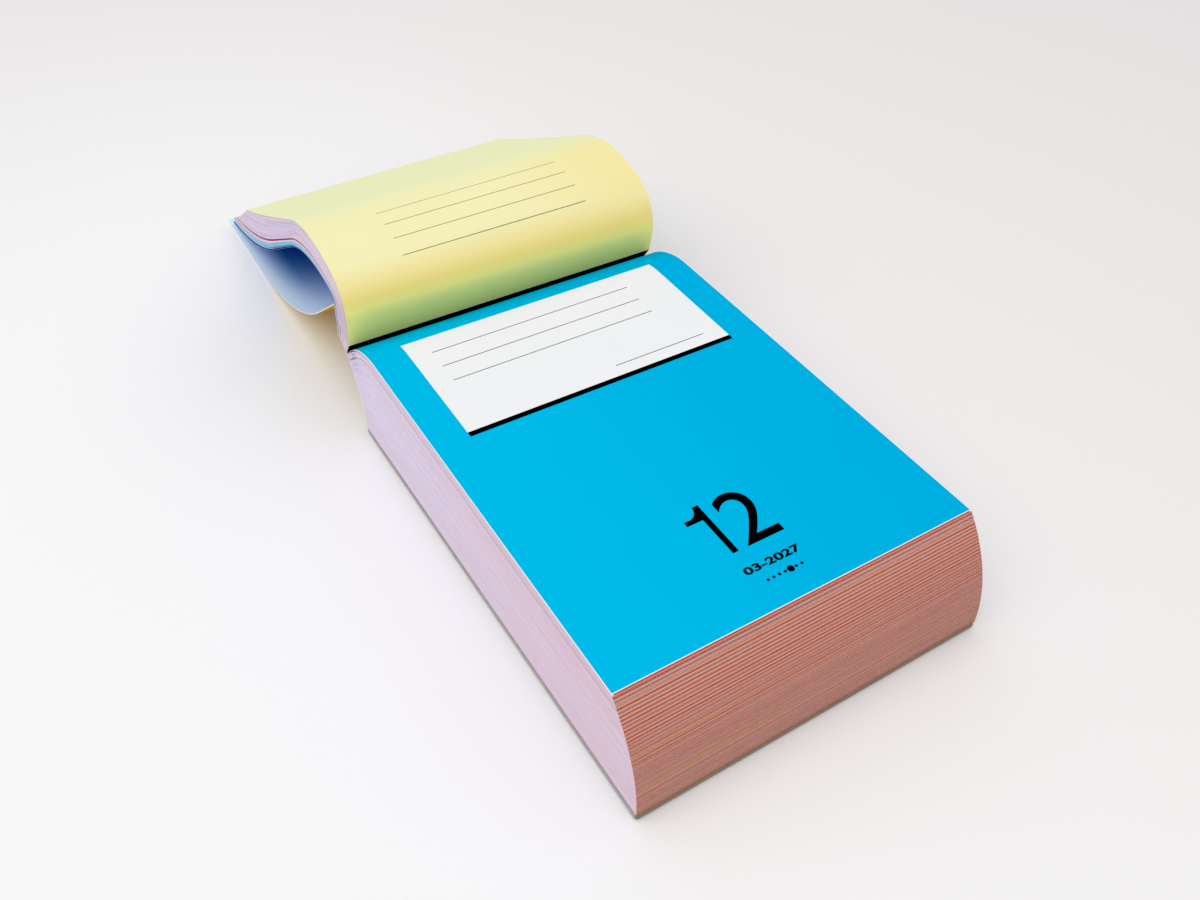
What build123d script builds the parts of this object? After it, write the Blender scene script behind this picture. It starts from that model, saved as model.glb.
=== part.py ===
from build123d import *

import os
from collections import namedtuple
from math import atan2, cos, degrees, hypot, radians, sin, tan

# A tear-off day calendar lying on its back board, in millimetres.
# +X runs across the leaves, +Y towards the glued head, +Z up from the table.
# The origin is on the board's underside, below the middle of the lowest leaf.
# A path is drawn in the Y-Z plane: a start point, a heading in degrees (0 is +Y, 90 is +Z), and
# steps, each a length along the path with the angle that the heading turns over it.

# Leaves
LEAF_WIDTH = 105.0
LEAF_LENGTH = 148.0
PAPER = 0.08
PRESSED_GAP = 0.004
STUB_LENGTH = 5.5
PERFORATION = 0.2

# Back board
BOARD_THICK = 2.0
BOARD_MARGIN = 0.2
BOARD_CORNER = 1.0

# Glued head: the pile is pressed together there, and leans back in a hollow curve
HEAD_RADIUS = 34.0
GLUE_THICK = 0.6

# Leaves still to come: each bends from the head's lean to nearly flat
BEND_LENGTH = 20.6
TOP_DROOP = 1.2
DAYS_TO_COME = {
    "december": 31,
    "november": 30,
    "october": 31,
    "september": 30,
    "august": 31,
    "july": 31,
    "june": 30,
    "may": 31,
    "april": 30,
}
MARCH_TO_COME = 18
FREE_LEVELS = 2

# Leaves gone by, turned over the head: up, over a tight crook and a wide arch, and down behind.
# The flyleaf lies innermost, and the others are stacked on it. The pile is rolled unevenly, so it
# has one profile on the left and another on the right.
RISE_HEADING = 100.0
LEFT_RISE = 6.0
RIGHT_RISE = 2.2
LEFT_CROOK_RADIUS = 2.0
RIGHT_CROOK_RADIUS = 5.7
LEFT_CROOK_TURN = 85.0
RIGHT_CROOK_TURN = 77.5
LEFT_ARCH_RADIUS = 48.8
RIGHT_ARCH_RADIUS = 39.2
FALL_LENGTH = 30.0
LEFT_SWEEP_RADIUS = 142.0
RIGHT_SWEEP_RADIUS = 258.0
# The upper leaves take a straighter way down: the share of the sweep that yesterday's leaf has, and
# how high its end lies
TOP_SWEEP = 0.2
LEFT_TOP_END = 13.9
RIGHT_TOP_END = 16.0
GUTTER_LEAN = 14.0
STUB_FAN = 19.0
DAYS_GONE_BY = {"early_march": 10, "february": 28, "january": 31}
# The air between the free ends of the cover, the flyleaf, the title leaf and the pile
END_SPREAD = 0.9

# The turned pile lies a little askew, its upper leaves more than its lower ones, in degrees
YESTERDAY_SKEW = 2.6
FLYLEAF_SKEW = 1.4
COVER_SKEW = 0.9

# Cover sheet: creased behind the turned leaves, then down to the table
COVER_THICK = 0.25
COVER_LENGTH = 148.0
COVER_SPACE = 1.4
CREASE_RISE = 4.3
CREASE_GAP = 0.3
COVER_SLOPE = 38.0
COVER_FALL = 22.0

# Worked out from the sizes above
HEAD_Y = LEAF_LENGTH / 2
HEAD_PITCH = PAPER + PRESSED_GAP
FLAT_LENGTH = LEAF_LENGTH - STUB_LENGTH - BEND_LENGTH
MARCH_BASE = sum(DAYS_TO_COME.values()) + FREE_LEVELS
TOMORROW_LEVEL = MARCH_BASE + MARCH_TO_COME + 1
TODAY_LEVEL = TOMORROW_LEVEL + 1 + FREE_LEVELS
YESTERDAY_LEVEL = TODAY_LEVEL + FREE_LEVELS
GONE_BY_BASE = YESTERDAY_LEVEL + 1
PILE_TOP = GONE_BY_BASE + sum(DAYS_GONE_BY.values())
TITLE_LEVEL = PILE_TOP + FREE_LEVELS
FLYLEAF_LEVEL = TITLE_LEVEL + 1 + FREE_LEVELS
COVER_LEVEL = FLYLEAF_LEVEL + 1 + FREE_LEVELS
HEAD_TOP_LEVEL = COVER_LEVEL + COVER_THICK / HEAD_PITCH
FLYLEAF_END = COVER_THICK + END_SPREAD + PAPER
TITLE_END = FLYLEAF_END + END_SPREAD + PAPER
PILE_END = TITLE_END + END_SPREAD
PROFILE_REACH = LEAF_WIDTH / 2 + LEAF_LENGTH * tan(radians(YESTERDAY_SKEW))
Profile = namedtuple("Profile", "rise crook_radius crook_turn arch_radius sweep_radius top_end")
LEFT = Profile(
    LEFT_RISE, LEFT_CROOK_RADIUS, LEFT_CROOK_TURN, LEFT_ARCH_RADIUS, LEFT_SWEEP_RADIUS, LEFT_TOP_END
)
RIGHT = Profile(
    RIGHT_RISE, RIGHT_CROOK_RADIUS, RIGHT_CROOK_TURN, RIGHT_ARCH_RADIUS, RIGHT_SWEEP_RADIUS, RIGHT_TOP_END
)

# Search for the arch that lets a leaf down to its height
STEEPEST_ARCH = 120.0
SEARCH_ROUNDS = 40


def ahead(point, heading, distance):
    """The point at a distance from another, along a heading."""
    angle = radians(heading)
    return (point[0] + distance * cos(angle), point[1] + distance * sin(angle))


def step_end(point, heading, length, turn):
    """The point where one step of a path ends."""
    half = radians(turn / 2)
    chord = length * sin(half) / half if turn else length
    return ahead(point, heading + turn / 2, chord)


def trace(point, heading, steps):
    """The lines and arcs of a path, and the point where it ends."""
    edges = []
    for length, turn in steps:
        end = step_end(point, heading, length, turn)
        if turn:
            middle = step_end(point, heading, length / 2, turn / 2)
            edges.append(ThreePointArc(point, middle, end))
        else:
            edges.append(Line(point, end))
        point = end
        heading += turn
    return edges, point


def cut_to_length(steps, length):
    """The steps of a path as far as a sheet of a length reaches."""
    kept = []
    for step_length, turn in steps:
        reach = min(step_length, length)
        if reach > 0:
            kept.append((reach, turn * reach / step_length))
        length -= reach
    return kept


def beside(path, distance):
    """The path that runs at a distance to the left of another."""
    point, heading, steps = path
    shifted = [(length - distance * radians(turn), turn) for length, turn in steps]
    return ahead(point, heading + 90, distance), heading, shifted


def across(outline):
    """A closed outline as a solid over the full width of a leaf."""
    return extrude(Plane.YZ * make_face(outline), LEAF_WIDTH / 2, both=True)


def packet_outline(first, second, start=None):
    """The leaves between two paths, closed at the start by a straight cut unless an edge is given."""
    first_edges, first_end = trace(*first)
    second_edges, second_end = trace(*second)
    cut = start or Line(first[0], second[0])
    return [*first_edges, Line(first_end, second_end), *second_edges, cut]


def packet(first, second, start=None):
    """A packet of leaves that lie square."""
    return across(packet_outline(first, second, start))


def skew_cut(solid, start, skew):
    """The part of a wide solid that is a leaf wide, and drifts sideways by an angle from where it starts."""
    drift = LEAF_LENGTH * tan(radians(skew))
    half = LEAF_WIDTH / 2
    plan = Polygon(
        (-half - drift, start - LEAF_LENGTH),
        (half - drift, start - LEAF_LENGTH),
        (half + drift, start + LEAF_LENGTH),
        (-half + drift, start + LEAF_LENGTH),
        align=None,
    )
    return solid & extrude(plan, LEAF_LENGTH, both=True)


def rolled_packet(left, right, skew):
    """A packet of turned leaves, between two paths on the left and two on the right."""
    ends = [Plane.YZ.offset(-PROFILE_REACH), Plane.YZ.offset(PROFILE_REACH)]
    faces = [end * make_face(packet_outline(*pair)) for end, pair in zip(ends, (left, right))]
    return skew_cut(loft(faces, ruled=True), left[0][0][0], skew)


def head_angle(level):
    """How far a leaf rises where it leaves the glued head, in degrees."""
    return degrees(level * HEAD_PITCH / HEAD_RADIUS)


def head_point(level, depth=0.0):
    """A point of the glued head with so many leaves below it, at a depth inside the glue."""
    angle = radians(head_angle(level))
    radius = HEAD_RADIUS - depth
    return (HEAD_Y + HEAD_RADIUS - radius * cos(angle), BOARD_THICK + radius * sin(angle))


def head_arc(low, high, depth=0.0):
    """The stretch of the glued head between two levels."""
    middle = head_point((low + high) / 2, depth)
    return ThreePointArc(head_point(low, depth), middle, head_point(high, depth))


def kept_heading(level):
    """The way a leaf still to come leaves the head."""
    return 180 - head_angle(level)


def kept_steps(level):
    """A leaf still to come, from its perforation to its foot."""
    droop = TOP_DROOP * level / TODAY_LEVEL
    return [(BEND_LENGTH, head_angle(level) + droop), (FLAT_LENGTH, 0)]


def whole_path(level):
    """A leaf still to come, from the head to its foot."""
    steps = [(STUB_LENGTH, 0), *kept_steps(level)]
    return head_point(level), kept_heading(level), steps


def kept_path(level):
    """The tear-off part of a leaf still to come."""
    point = ahead(head_point(level), kept_heading(level), STUB_LENGTH)
    return point, kept_heading(level), kept_steps(level)


def turned_heading(level):
    """The way a turned leaf leaves the head: the stubs lean back from the gutter and fan out."""
    share = (level - YESTERDAY_LEVEL) / (FLYLEAF_LEVEL - YESTERDAY_LEVEL)
    return 180 - head_angle(level) - GUTTER_LEAN - STUB_FAN * share


def turned_start(level):
    """The perforation of a turned leaf."""
    return ahead(head_point(level), turned_heading(level), STUB_LENGTH)


def turned_place(level):
    """How far a turned leaf starts along and behind yesterday's leaf."""
    first = turned_start(YESTERDAY_LEVEL)
    point = turned_start(level)
    distance = hypot(point[0] - first[0], point[1] - first[1])
    bearing = degrees(atan2(point[1] - first[1], point[0] - first[0])) if distance else RISE_HEADING
    angle = radians(RISE_HEADING - bearing)
    return distance * cos(angle), distance * sin(angle)


def upper_share(level):
    """How high a turned leaf lies in the pile, from 0 on its lowest leaf to 1 on yesterday's."""
    return max(PILE_TOP - level, 0) / (PILE_TOP - YESTERDAY_LEVEL)


def turned_path(level, profile, arch):
    """The tear-off part of a turned leaf, with its full length wherever it lies in the pile."""
    along, behind = turned_place(level)
    last_along, last_behind = turned_place(FLYLEAF_LEVEL)
    stacked = last_behind - behind
    sweep_share = 1 - (1 - TOP_SWEEP) * upper_share(level)
    sweep_turn = sweep_share * degrees(LEAF_LENGTH / (profile.sweep_radius + behind))
    steps = [
        (profile.rise + last_along - along, 0),
        ((profile.crook_radius + stacked) * radians(profile.crook_turn), -profile.crook_turn),
        ((profile.arch_radius + stacked) * radians(arch), -arch),
        (FALL_LENGTH, 0),
        (LEAF_LENGTH, sweep_turn),
    ]
    return turned_start(level), RISE_HEADING, cut_to_length(steps, LEAF_LENGTH - STUB_LENGTH)


def lowest(path):
    """The lowest height that a path comes down to after its start."""
    point, heading, steps = path
    heights = []
    for length, turn in steps:
        if heading < 0 < heading + turn:
            share = -heading / turn
            heights.append(step_end(point, heading, length * share, -heading)[1])
        point = step_end(point, heading, length, turn)
        heading += turn
        heights.append(point[1])
    return min(heights)


def arch_turn(level, profile, height):
    """The turn of the arch that lets a turned leaf down to a height above the table."""
    low, high = 0.0, STEEPEST_ARCH
    for _ in range(SEARCH_ROUNDS):
        middle = (low + high) / 2
        if lowest(turned_path(level, profile, middle)) > height:
            low = middle
        else:
            high = middle
    return middle


def settled_path(level, profile, height):
    """The tear-off part of a turned leaf that comes down to a height above the table."""
    return turned_path(level, profile, arch_turn(level, profile, height))


def pile_path(level, profile):
    """The tear-off part of a leaf of the pile, whose arch lies between the lowest leaf's and yesterday's."""
    lowest_arch = arch_turn(PILE_TOP, profile, PILE_END)
    top_arch = arch_turn(YESTERDAY_LEVEL, profile, profile.top_end)
    return turned_path(level, profile, lowest_arch + (top_arch - lowest_arch) * upper_share(level))


def turned_skew(level):
    """How far a turned leaf lies askew."""
    share = (level - YESTERDAY_LEVEL) / (FLYLEAF_LEVEL - YESTERDAY_LEVEL)
    return YESTERDAY_SKEW + (FLYLEAF_SKEW - YESTERDAY_SKEW) * share


def sheet(path, thick):
    """One sheet along a path, with its thickness to the left."""
    return packet(path, beside(path, thick))


def stub_path(level, heading):
    """The glued stub of a leaf, up to its perforation."""
    return head_point(level), heading, [(STUB_LENGTH - PERFORATION, 0)]


def kept_stub(low, high):
    """The stubs of leaves still to come between two levels."""
    first = stub_path(low, kept_heading(low))
    second = stub_path(high, kept_heading(high))
    return packet(first, second, head_arc(low, high))


def turned_stub(low, high):
    """The stubs of turned leaves between two levels."""
    first = stub_path(low, turned_heading(low))
    second = stub_path(high, turned_heading(high))
    return packet(first, second, head_arc(low, high))


def single_stub_low(level):
    """The level at the underside of a single sheet."""
    return level - PAPER / HEAD_PITCH


def back_board():
    """Grey board under the whole block, standing out from the leaves at the foot and the sides."""
    width = LEAF_WIDTH + 2 * BOARD_MARGIN
    length = LEAF_LENGTH + BOARD_MARGIN + GLUE_THICK
    middle = (GLUE_THICK - BOARD_MARGIN) / 2
    outline = Pos(0, middle) * RectangleRounded(width, length, BOARD_CORNER)
    return extrude(outline, BOARD_THICK)


def head_glue():
    """Film of glue along the head, standing on the board."""
    outline = [
        head_arc(0, HEAD_TOP_LEVEL),
        head_arc(0, HEAD_TOP_LEVEL, GLUE_THICK),
        Line(head_point(0), head_point(0, GLUE_THICK)),
        Line(head_point(HEAD_TOP_LEVEL), head_point(HEAD_TOP_LEVEL, GLUE_THICK)),
    ]
    return across(outline)


def months_to_come():
    """One packet of whole leaves for each month, from the board up."""
    packets = {}
    level = 0
    for month, days in DAYS_TO_COME.items():
        top = level + days
        packets[f"{month}_leaves"] = packet(whole_path(level), whole_path(top), head_arc(level, top))
        level = top
    return packets


def march_to_come():
    """The rest of March, with tomorrow's and today's leaf by themselves, and the stubs of all three."""
    march_top = MARCH_BASE + MARCH_TO_COME
    return {
        "march_leaves": packet(kept_path(MARCH_BASE), kept_path(march_top)),
        "march_stubs": kept_stub(MARCH_BASE, march_top),
        "tomorrow_leaf": sheet(kept_path(TOMORROW_LEVEL), PAPER),
        "tomorrow_stub": kept_stub(single_stub_low(TOMORROW_LEVEL), TOMORROW_LEVEL),
        "today_leaf": sheet(kept_path(TODAY_LEVEL), PAPER),
        "today_stub": kept_stub(single_stub_low(TODAY_LEVEL), TODAY_LEVEL),
    }


def pile_packet(low, high, skew):
    """Leaves of the pile between two levels."""
    sides = [(pile_path(low, profile), pile_path(high, profile)) for profile in (LEFT, RIGHT)]
    return rolled_packet(*sides, skew)


def turned_sheet(name, level, paths):
    """A single turned leaf, by its paths on the left and the right, and its stub."""
    sides = [(path, beside(path, -PAPER)) for path in paths]
    return {
        f"{name}_leaf": rolled_packet(*sides, turned_skew(level)),
        f"{name}_stub": turned_stub(level, level + PAPER / HEAD_PITCH),
    }


def turned_leaves():
    """Yesterday's leaf, the months gone by, the title leaf and the flyleaf, with their stubs."""
    profiles = (LEFT, RIGHT)
    yesterday = [pile_path(YESTERDAY_LEVEL, profile) for profile in profiles]
    title = [settled_path(TITLE_LEVEL, profile, TITLE_END) for profile in profiles]
    flyleaf = [settled_path(FLYLEAF_LEVEL, profile, FLYLEAF_END) for profile in profiles]
    pieces = turned_sheet("yesterday", YESTERDAY_LEVEL, yesterday)
    level = GONE_BY_BASE
    for month, days in DAYS_GONE_BY.items():
        top = level + days
        skew = turned_skew((level + top) / 2)
        pieces[f"{month}_leaves"] = pile_packet(level, top, skew)
        pieces[f"{month}_stubs"] = turned_stub(level, top)
        level = top
    pieces.update(turned_sheet("title", TITLE_LEVEL, title))
    pieces.update(turned_sheet("fly", FLYLEAF_LEVEL, flyleaf))
    return pieces


def cover_crease():
    """The crease where the cover sheet folds back, behind the bend of the flyleaf."""
    bend = ahead(turned_start(FLYLEAF_LEVEL), RISE_HEADING, CREASE_RISE)
    return ahead(bend, RISE_HEADING - 90, COVER_SPACE)


def cover():
    """The cover sheet, lying down to the table, and the strip that is glued in the head."""
    crease = cover_crease()
    strip_end = ahead(crease, 180, CREASE_GAP)
    foot = head_point(HEAD_TOP_LEVEL)
    reach = hypot(strip_end[0] - foot[0], strip_end[1] - foot[1])
    strip_heading = degrees(atan2(strip_end[1] - foot[1], strip_end[0] - foot[0]))
    slope = radians(COVER_SLOPE)
    sweep_radius = (crease[1] - COVER_FALL * sin(slope)) / (1 - cos(slope))
    steps = [(COVER_FALL, 0), (sweep_radius * slope, COVER_SLOPE), (COVER_LENGTH, 0)]
    steps = cut_to_length(steps, COVER_LENGTH - reach)
    under = (crease, -COVER_SLOPE, steps)
    outline = packet_outline(under, beside(under, COVER_THICK))
    wide = extrude(Plane.YZ * make_face(outline), PROFILE_REACH, both=True)
    return {
        "cover_sheet": skew_cut(wide, crease[0], COVER_SKEW),
        "cover_strip": sheet((foot, strip_heading, [(reach, 0)]), COVER_THICK),
    }


nodes = {
    "back_board": back_board(),
    "head_glue": head_glue(),
    **months_to_come(),
    **march_to_come(),
    **turned_leaves(),
    **cover(),
}

os.makedirs("parts", exist_ok=True)
for name, solid in nodes.items():
    export_step(solid, f"parts/{name}.step")
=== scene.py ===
import random
from collections import namedtuple
from contextlib import contextmanager
from math import atan2, cos, degrees, hypot, pi, radians, sin, tan

import bpy
from mathutils import Matrix, Vector


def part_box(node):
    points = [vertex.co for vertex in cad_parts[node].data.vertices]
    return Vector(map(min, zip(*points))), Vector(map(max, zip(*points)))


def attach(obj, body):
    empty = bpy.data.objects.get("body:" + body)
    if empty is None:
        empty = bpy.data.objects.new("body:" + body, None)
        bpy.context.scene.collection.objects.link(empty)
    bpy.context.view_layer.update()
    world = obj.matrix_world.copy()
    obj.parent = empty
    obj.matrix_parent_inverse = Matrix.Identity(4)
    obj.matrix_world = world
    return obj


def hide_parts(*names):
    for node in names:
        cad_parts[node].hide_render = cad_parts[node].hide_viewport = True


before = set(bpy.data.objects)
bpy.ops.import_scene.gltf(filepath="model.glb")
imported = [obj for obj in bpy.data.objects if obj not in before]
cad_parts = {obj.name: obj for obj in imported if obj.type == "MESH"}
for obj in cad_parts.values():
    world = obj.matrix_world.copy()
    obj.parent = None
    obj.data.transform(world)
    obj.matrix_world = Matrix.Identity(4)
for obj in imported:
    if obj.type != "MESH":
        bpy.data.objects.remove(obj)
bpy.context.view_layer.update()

# A tear-off day calendar lying open on a table, in metres and degrees, in the frame of its solids.
# +X runs across the leaves, +Y towards the glued head, +Z up from the table.
# A path is drawn in the Y-Z plane: a start point, a heading (0 is +Y, 90 is +Z), and steps, each a
# length along the path with the angle that the heading turns over it.

# Leaves, as in the part's source
LEAF_WIDTH = 0.105
LEAF_LENGTH = 0.148
PAPER = 0.00008
HEAD_PITCH = 0.000084
STUB_LENGTH = 0.0055
PERFORATION = 0.0002
TIE_LENGTH = 0.0001

# Back board
BOARD_THICK = 0.002
BOARD_CORNER = 0.001
BOARD_CORNER_CUTS = 6
BOARD_EDGE_WEAR = 0.00015
BOARD_EDGE_CUTS = 2
BOARD_BROWN_WIDTH = 0.0008

# Glued head
HEAD_RADIUS = 0.034
GLUE_THICK = 0.0006
GLUE_CUTS = 60

# Leaves still to come
BEND_LENGTH = 0.0206
TOP_DROOP = 1.2
DAYS_TO_COME = {
    "december": 31,
    "november": 30,
    "october": 31,
    "september": 30,
    "august": 31,
    "july": 31,
    "june": 30,
    "may": 31,
    "april": 30,
}
MARCH_TO_COME = 18
FREE_LEVELS = 2

# Leaves gone by, turned over the head, rolled up unevenly from left to right
RISE_HEADING = 100.0
FALL_LENGTH = 0.030
GUTTER_LEAN = 14.0
STUB_FAN = 19.0
DAYS_GONE_BY = {"early_march": 10, "february": 28, "january": 31}
END_SPREAD = 0.0009
YESTERDAY_SKEW = 2.6
FLYLEAF_SKEW = 1.4

# The two sides of the turned pile. The upper leaves take a straighter way down: TOP_SWEEP is the share of
# the sweep that yesterday's leaf has, and top_end is how high its end lies
TOP_SWEEP = 0.2
Profile = namedtuple("Profile", "rise crook_radius crook_turn arch_radius sweep_radius top_end")
LEFT = Profile(
    rise=0.0060, crook_radius=0.0020, crook_turn=85.0, arch_radius=0.0488, sweep_radius=0.142, top_end=0.0139
)
RIGHT = Profile(
    rise=0.0022, crook_radius=0.0057, crook_turn=77.5, arch_radius=0.0392, sweep_radius=0.258, top_end=0.0160
)

# How the turn of an arch is searched for
STEEPEST_ARCH = 120.0
SEARCH_ROUNDS = 40

# Cover sheet
COVER_THICK = 0.00025
COVER_LENGTH = 0.148
COVER_SPACE = 0.0014
CREASE_RISE = 0.0043
CREASE_GAP = 0.0003
COVER_SLOPE = 38.0
COVER_FALL = 0.022
COVER_SKEW = 0.9

# Worked out from the sizes above
HALF_WIDTH = LEAF_WIDTH / 2
HEAD_Y = LEAF_LENGTH / 2
FLAT_LENGTH = LEAF_LENGTH - STUB_LENGTH - BEND_LENGTH
MARCH_BASE = sum(DAYS_TO_COME.values()) + FREE_LEVELS
MARCH_TOP = MARCH_BASE + MARCH_TO_COME
TOMORROW_LEVEL = MARCH_TOP + 1
TODAY_LEVEL = TOMORROW_LEVEL + 1 + FREE_LEVELS
YESTERDAY_LEVEL = TODAY_LEVEL + FREE_LEVELS
GONE_BY_BASE = YESTERDAY_LEVEL + 1
PILE_TOP = GONE_BY_BASE + sum(DAYS_GONE_BY.values())
TITLE_LEVEL = PILE_TOP + FREE_LEVELS
FLYLEAF_LEVEL = TITLE_LEVEL + 1 + FREE_LEVELS
COVER_LEVEL = FLYLEAF_LEVEL + 1 + FREE_LEVELS
HEAD_TOP_LEVEL = COVER_LEVEL + COVER_THICK / HEAD_PITCH
FLYLEAF_END = COVER_THICK + END_SPREAD + PAPER
TITLE_END = FLYLEAF_END + END_SPREAD + PAPER
PILE_END = TITLE_END + END_SPREAD
PROFILE_REACH = HALF_WIDTH + LEAF_LENGTH * tan(radians(YESTERDAY_SKEW))

# Leaf by leaf: how much of its share of the pile a leaf fills, and how unevenly it was trimmed
LEAF_FILL = 0.86
FOOT_UNEVEN = 0.00007
SIDE_UNEVEN = 0.00004
SHEET_INSET = 0.000015
WHOLE_CUTS = (1, 12, 4)
KEPT_CUTS = (12, 4)
TURNED_CUTS = (2, 10, 14, 3, 10)
STUB_CUTS = (1,)
SHEET_COLUMNS = 84
KEPT_SHEET_CUTS = (16, 24)
TURNED_SHEET_CUTS = (3, 12, 20, 8, 20)
COVER_CUTS = (8, 30, 12)
STRIP_CUTS = (4,)

# Which way the front of a sheet faces: the left or the right of its path
LEFT_FACE = 1.0
RIGHT_FACE = -1.0

# Places of a piece's finishes in its list, after the first: a sheet's back and rim, a pile's sides and ends
SECOND_FINISH = 1
THIRD_FINISH = 2

# Bends up to one angle are shaded smooth, edges from another are sharp, and a way goes mostly along an
# axis when that part of it is larger than a share
SMOOTH_ANGLE = 30.0
SHARP_ANGLE = 60.0
MOSTLY = 0.5

# Print on today's leaf, measured across from its middle and along from its perforation
PANEL_HALF_WIDTH = 0.0422
PANEL_TOP = 0.0150
PANEL_FOOT = 0.0568
STRIPE = 0.0018
TRIM = 0.00024
TOMORROW_MARGIN = 0.0005
DASH_PITCH = 0.0025
DASH_LENGTH = 0.0004
DASH_SHARE = 0.4
RULE_TOP = 0.0225
RULE_PITCH = 0.0068
RULE_COUNT = 3
RULE_THICK = 0.00032
RULE_LEFT = -0.036
RULE_RIGHT = 0.029
SHORT_RULE_LEFT = 0.006
SHORT_RULE_RIGHT = 0.036
SHORT_RULE_PLACE = 0.0525

# Lines for notes on the back of a leaf
NOTE_TOP = 0.024
NOTE_PITCH = 0.0072
NOTE_COUNT = 4
NOTE_THICK = 0.00028
NOTE_HALF_WIDTH = 0.031

# Lines and bands on the cut edges, counted in leaves
ROSE_LEAVES = 14
BLUE_LEAF_DEPTH = 38
BLUE_LEAVES = 5
FAN_LEAVES = 90
MAGENTA_SHADE_LEAVES = 5
PINK_LEAVES = 4
BLUE_LAST_LEAVES = 10
BOARD_SHADE_LEAVES = 5
LINE_LEAVES = 7.5
BAND_LEAVES = 15

# Finishes: how rough and shiny each is, how cloudy its tint, and how strong its relief
Kind = namedtuple("Kind", "roughness shine clouding relief")
TODAY_SHEET = Kind(0.7, 0.0, 0.10, 0.12)
PRINTED_SHEET = Kind(0.7, 0.0, 0.10, 0.15)
TONED_SHEET = Kind(0.7, 0.0, 0.15, 0.15)
INNER_LEAF = Kind(0.7, 0.0, 0.20, 0.25)
CUT_EDGE = Kind(0.8, 0.0, 0.10, 0.25)
CUT_SIDE = Kind(0.8, 0.0, 0.12, 0.30)
CUT_FOOT = Kind(0.8, 0.0, 0.20, 0.30)
RAW_BOARD = Kind(0.9, 0.1, 0.50, 0.60)
DRY_INK = Kind(0.6, 0.0, 0.10, 0.10)
DRY_GLUE = Kind(0.35, 0.5, 0.0, 0.5)
TABLE_TOP = Kind(0.9, 0.1, 0.0, 0.0)
FIBRE_DEPTH = 0.00002
BRUSH_DEPTH = 0.0002
BRUSH_SCALE = (60.0, 900.0, 900.0)

# Noise: how fine it is, how much detail it has, and how rough the detail is
Noise = namedtuple("Noise", "scale detail roughness", defaults=(0.5,))
FIBRES = Noise(2600.0, 4.0)
CLOUDS = Noise(55.0, 5.0)
TODAY_TONE = Noise(9.0, 2.0)
SHEET_TONE = Noise(14.0, 3.0)
STREAK_NOISE = Noise(1.0, 2.0)
FLECKS = Noise(900.0, 6.0, 0.7)
BRUSH_MARKS = Noise(1.0, 3.0)

# Streaks: their length, against the leaf's at the sides and in metres at the foot, and how many leaves thick
Streak = namedtuple("Streak", "length leaves")
FINE_STREAKS = Streak(0.06, 2.5)
FAN_STREAKS = Streak(0.5, 2.4)
PARTED_STREAKS = Streak(0.35, 1.6)
FOOT_WANDER = Streak(0.05, 60.0)
FOOT_TINTS = Streak(0.12, 9)

# Fades: where a measure starts and ends, and the numbers that the fade has there, if not 0 and 1
Fade = namedtuple("Fade", "start end first last", defaults=(0.0, 1.0))
TODAY_SIDE = Fade(-HALF_WIDTH, HALF_WIDTH, 0.0, 0.75)
TODAY_GUTTER_SHADE = Fade(0.0, PANEL_TOP, 0.7, 0.0)
YELLOW_SIDE_SHADE = Fade(0.0, HALF_WIDTH, 0.0, 0.35)
YELLOW_LOW_SHADE = Fade(0.011, 0.028, 1.0, 0.0)
YELLOW_GUTTER = Fade(0.012, 0.016, 1.0, 0.0)
YELLOW_FAR = Fade(0.045, 0.065)
COVER_SHADE_SIDE = Fade(0.001, 0.012)
COVER_SHADE_CREASE = Fade(0.048, 0.108)
COVER_SHADE_END = Fade(0.117, 0.129, 1.0, 0.0)
SIDE_HEAD = Fade(-HEAD_Y, HEAD_Y)
LIGHT_STREAK = Fade(0.52, 0.75, 0.0, 0.6)
DARK_STREAK = Fade(0.45, 0.25, 0.0, 0.35)
BLUE_FOOT = Fade(0.5, 0.8, 0.0, 0.8)
FAN_LINE = Fade(0.54, 0.60, 0.0, 0.9)
FAN_GUTTER = Fade(0.04, 0.26, 1.0, 0.0)
FAN_TOP = Fade(TODAY_LEVEL - FAN_LEAVES, TODAY_LEVEL)
PARTED_GAP_SHADE = Fade(0.50, 0.62, 0.0, 0.7)
PAST_ARCH = Fade(0.35, 0.60, 0.15, 1.0)
PAST_CROOK = Fade(0.06, 0.14)
FOOT_LINES_UP = Fade(0.25, 0.85, 0.22, 0.95)
FOOT_TINTS_DOWN = Fade(0.45, 0.80, 1.0, 0.0)
MAUVE_TINT = Fade(0.50, 0.66, 0.0, 0.6)
TAN_TINT = Fade(0.50, 0.34, 0.0, 0.6)
RED_FOOT = Fade(0.055, 0.090)
BOARD_FRONT = Fade(BOARD_BROWN_WIDTH - HEAD_Y, -HEAD_Y, 0.0, 0.85)
FLOOR_SHADE_SIDE = Fade(-0.1, 0.25)
FLOOR_SHADE_DISTANCE = Fade(0.16, 0.50)

# Shares of one colour over another, and the chance that a leaf is lighter or darker than the rest
TONE_SHARE = 0.3
ROSE_SHARE = 0.6
SIDE_SHADE = 0.8
FOOT_SHADE = 0.7
WANDER_SHARE = 0.25
LIGHT_LEAF_FROM = 0.88
LIGHT_LEAF_SHARE = 0.35
DARK_LEAF_TO = 0.18
DARK_LEAF_SHARE = 0.30

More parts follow.
